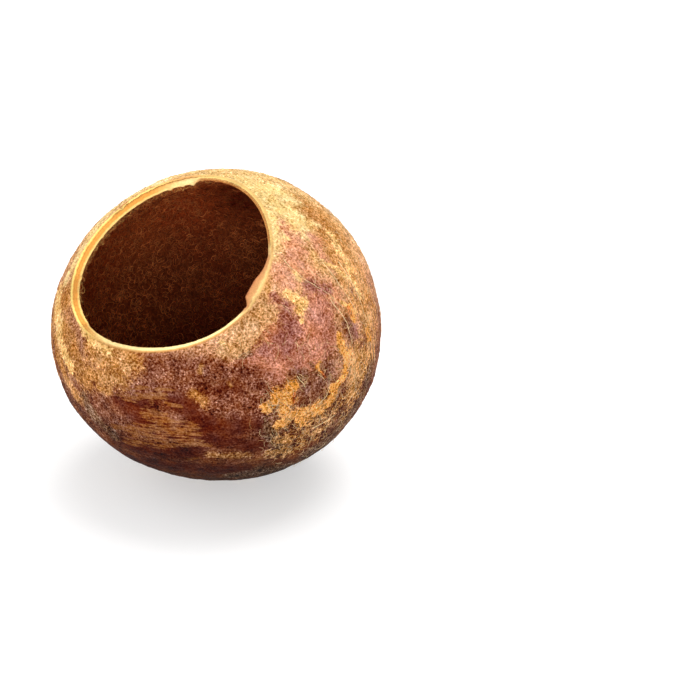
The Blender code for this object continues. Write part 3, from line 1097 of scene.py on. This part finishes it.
def skin_tone(finish, speck, fine, middling):
    """The skin's colour, with painted shade that darkens its lower half and painted highlights on its grain,
    and the height of its grain.
    """
    coarse, warm, level, upright = (finish.noise(*kind) for kind in (COARSE, WARM, LEVEL, UPRIGHT))
    height = finish.swung(finish.field("height"), middling, 0.2)
    relief = finish.math("MULTIPLY_ADD", finish.net(*NET), NET_SHARE, GRAIN_LEVEL)
    for part, share in zip((speck, fine, middling, coarse), GRAIN_SHARES):
        relief = finish.math("MULTIPLY_ADD", part, share, relief)
    tone = finish.ramp(height, SKIN_BY_HEIGHT_WITH_PAINTED_SHADE)
    rough = finish.field("grain")
    ragged = finish.swung(fine, middling, 0.8)
    speckles = {"fine": fine, "middling": middling, "ragged": ragged, "level": level, "upright": upright}
    for field, _, _, speckle, amount, soft, tint, roughness in PATCHES:
        mask = finish.patch(finish.field(field), speckles[speckle], amount, soft)
        tone = finish.mix(mask, tone, tint)
        rough = finish.math("MULTIPLY_ADD", mask, finish.math("SUBTRACT", roughness, rough), rough)
    tone = finish.shifted(tone, finish.math("SUBTRACT", warm, 0.5), WARM_SHIFT)
    # Painted shade: all below the middle darkened, to about half at the bottom, where the light from above
    # falls less
    tone = finish.scaled(tone, finish.spread(height, 0.0, 0.5, 0.52, 1.0))
    grain = finish.math("MULTIPLY", relief, rough)
    # Paler crests and darker pits: partly the skin's own colour, partly painted highlights and painted shade
    tone = finish.shifted(tone, finish.math("MULTIPLY", grain, GRAIN_CONTRAST))
    lines = finish.math("MULTIPLY", finish.math("SUBTRACT", level, 0.5), finish.math("SUBTRACT", 1.0, rough))
    tone = finish.shifted(tone, finish.math("MULTIPLY", lines, LINE_CONTRAST))
    # Painted highlights on the highest crests
    glint = finish.math("MULTIPLY", finish.spread(relief, 0.75, 1.2), rough)
    return finish.shifted(tone, finish.math("MULTIPLY", glint, GLINT)), grain


def cut_tone(finish, speck, fine):
    """The colours of the layers that the saw laid open."""
    depth = finish.swung(finish.field("cut_depth"), fine, 0.3)
    wood = finish.mix(finish.field("layered"), finish.ramp(depth, CUT_PLAIN), finish.ramp(depth, CUT_LAYERS))
    wood = finish.mix(finish.field("laminated"), wood, finish.ramp(depth, CUT_LAMINATED))
    crack = finish.math("ABSOLUTE", finish.math("SUBTRACT", depth, 0.22))
    crack = finish.math("MULTIPLY", finish.spread(crack, 0.0, 0.07, 0.8, 0.0), finish.field("cracked"))
    wood = finish.mix(crack, wood, CUT_CRACK)
    wood = finish.mix(finish.field("ledge"), wood, finish.ramp(depth, CUT_LEDGE))
    return finish.scaled(wood, finish.swung(1.0, speck, 0.4))


def lining_finish():
    """Matted brown fibres, with painted shade deeper inside and painted light and shade in places."""
    finish = Finish("felt")
    matted = finish.noise(*MATTED)
    strands = finish.noise(*STRANDS, kind="RIDGED_MULTIFRACTAL")
    tone = finish.mix(finish.spread(finish.field("broad"), 0.35, 0.65), FELT_BROWN, FELT_RED)
    tone = finish.mix(finish.spread(matted, 0.35, 0.65, 0.0, 0.7), tone, FELT_DARK)
    # Painted light and painted shade on the felt, in places
    tone = finish.scaled(tone, finish.math("MULTIPLY_ADD", finish.field("shade"), 0.7, 1.0))
    # Painted shade: the felt darkened deeper inside
    finish.paint(finish.scaled(tone, finish.spread(finish.field("sunk"), 0.0, 1.0, 0.6, 1.05)))
    finish.surface("Roughness", finish.spread(matted, 0.3, 0.7, 0.8, 0.95))
    finish.surface("Specular IOR Level", FELT_SHINE)
    finish.bump(finish.math("ADD", matted, finish.math("MULTIPLY", strands, 0.3)), FELT_BUMP)
    return finish.material


def hair_finish(name, dark, light):
    """Fine hairs whose colour goes from dark to light with each hair's own tone."""
    finish = Finish(name)
    tone = finish.mix(finish.spread(finish.field("tone"), 0.0, 1.0), dark, light)
    fleck = finish.noise(*HAIR_FLECK)
    finish.paint(finish.scaled(tone, finish.spread(fleck, 0.3, 0.7, 0.85, 1.12)))
    finish.surface("Roughness", finish.spread(fleck, 0.3, 0.7, 0.42, 0.6))
    finish.surface("Specular IOR Level", FELT_SHINE)
    return finish.material


def studio():
    """A pale floor, soft lights from above, the left and the front, and white all round."""
    mesh = bpy.data.meshes.new("floor")
    signs = ((-1, -1), (1, -1), (1, 1), (-1, 1))
    mesh.from_pydata([(x * FLOOR_REACH, y * FLOOR_REACH, 0) for x, y in signs], [], [(0, 1, 2, 3)])
    floor = add_object("floor", mesh)
    floor.location.z = -FLOOR_DROP
    finish = Finish("floor")
    finish.surface("Base Color", (FLOOR_TONE,) * 3)
    finish.surface("Emission Color", WHITE)
    finish.surface("Emission Strength", FLOOR_GLOW)
    finish.surface("Roughness", FLOOR_ROUGHNESS)
    mesh.materials.append(finish.material)
    world = bpy.data.worlds.new("studio")
    world.use_nodes = True
    surrounding = world.node_tree.nodes["Background"].inputs
    surrounding["Color"].default_value = screen_colour(WHITE)
    surrounding["Strength"].default_value = WORLD_LIGHT
    bpy.context.scene.world = world
    for light in LIGHTS:
        soft_light(*light)
    bpy.context.scene.view_settings.view_transform = "Standard"


def soft_light(name, place, size, power):
    """A square soft light that shines on the pod."""
    lamp = bpy.data.lights.new(name, "AREA")
    lamp.size = size
    lamp.energy = power
    light = add_object(name, lamp)
    light.location = place
    light.rotation_euler = (Vector(place) - Vector(MIDDLE)).to_track_quat("Z", "Y").to_euler()


def camera():
    """The photograph's view."""
    lens = bpy.data.cameras.new("camera")
    lens.sensor_fit = "HORIZONTAL"
    lens.sensor_width = SENSOR
    lens.lens = SENSOR * VIEW_DISTANCE / MM_PER_PIXEL / PHOTO_SIZE[0]
    lens.clip_start = 0.01
    seen = add_object("camera", lens)
    seen.matrix_world = Matrix(np.column_stack(camera_axes())).to_4x4()
    seen.location = MIDDLE + camera_place()
    bpy.context.scene.camera = seen


rind = pod_rind()
rind.data.materials.append(rind_finish())
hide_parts("pod_shell")
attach(rind, "root")

lining = pod_lining()
lining.data.materials.append(lining_finish())
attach(lining, "root")

hair_material = hair_finish("felt_hair", HAIR_DARK, HAIR_LIGHT)
for hairs in felt_hairs():
    hairs.data.materials.append(hair_material)
    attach(hairs, "root")

for fibres, dark, light in (
    (rim_bristles(), BRISTLE_DARK, BRISTLE_LIGHT),
    (skin_fibres(), FIBRE_DARK, FIBRE_LIGHT),
    (long_fibres(), FIBRE_DARK, FIBRE_LIGHT),
):
    fibres.data.materials.append(hair_finish(fibres.name, dark, light))
    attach(fibres, "root")

studio()
camera()
